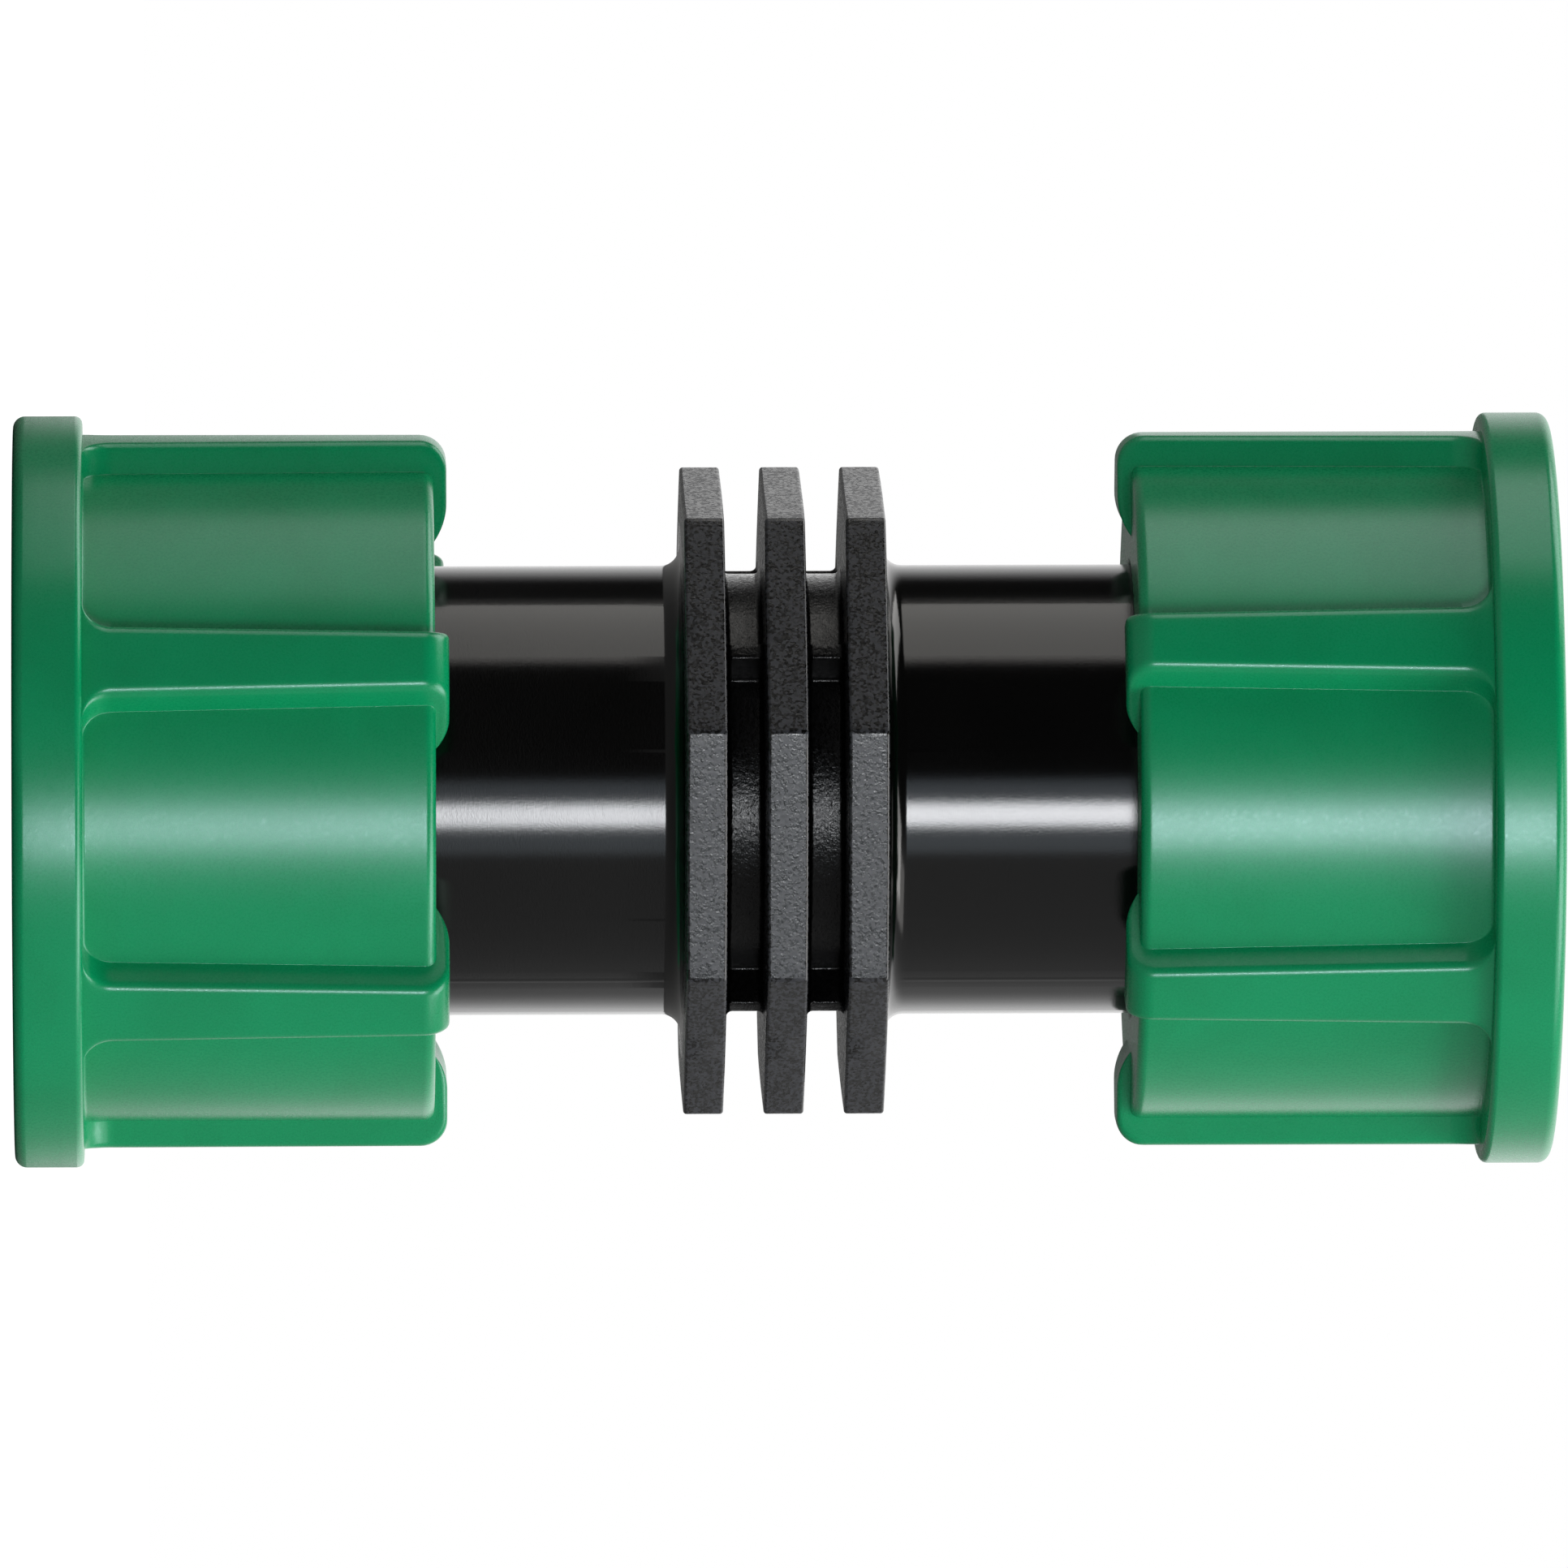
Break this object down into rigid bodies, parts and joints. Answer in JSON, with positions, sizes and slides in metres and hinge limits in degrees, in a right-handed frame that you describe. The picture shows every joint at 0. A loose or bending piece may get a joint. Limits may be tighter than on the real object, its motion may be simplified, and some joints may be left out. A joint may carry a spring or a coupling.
{
  "type": "sprinkler connector",
  "caption": "Straight sprinkler pipe connector: black moulded body with octagonal spanner plates, and a ribbed green swivel nut with a female pipe thread on each end.",
  "frame": {"origin": "on the axis of the waterway, at the mouth of the lower nut, which the coupling stands on", "axes": "+Z along the waterway from the lower nut to the upper one; the flats of the octagonal plates face X, Y and the two directions between them"},
  "size_m": [0.0444, 0.0444, 0.0909],
  "materials": {
    "body_plastic": "glossy moulded pipe, sand-textured spanner plates",
    "nut_plastic": "satin moulded",
    "ring_plastic": "natural white, satin",
    "washer_rubber": "matt"
  },
  "bodies": {
    "fitting_body": {"coupling_body": "body_plastic", "retaining_ring_lower": "ring_plastic", "retaining_ring_upper": "ring_plastic", "sealing_washer_lower": "washer_rubber", "sealing_washer_upper": "washer_rubber"},
    "nut_lower": {"swivel_nut_lower": "nut_plastic"},
    "nut_upper": {"swivel_nut_upper": "nut_plastic"}
  },
  "joints": [
    {"name": "nut_lower_turn", "type": "hinge", "parent": "fitting_body", "child": "nut_lower", "pos_m": [0, 0, 0.0124], "axis": [0, 0, 1], "continuous": true},
    {"name": "nut_upper_turn", "type": "hinge", "parent": "fitting_body", "child": "nut_upper", "pos_m": [0, 0, 0.07846], "axis": [0, 0, 1], "continuous": true}
  ]
}
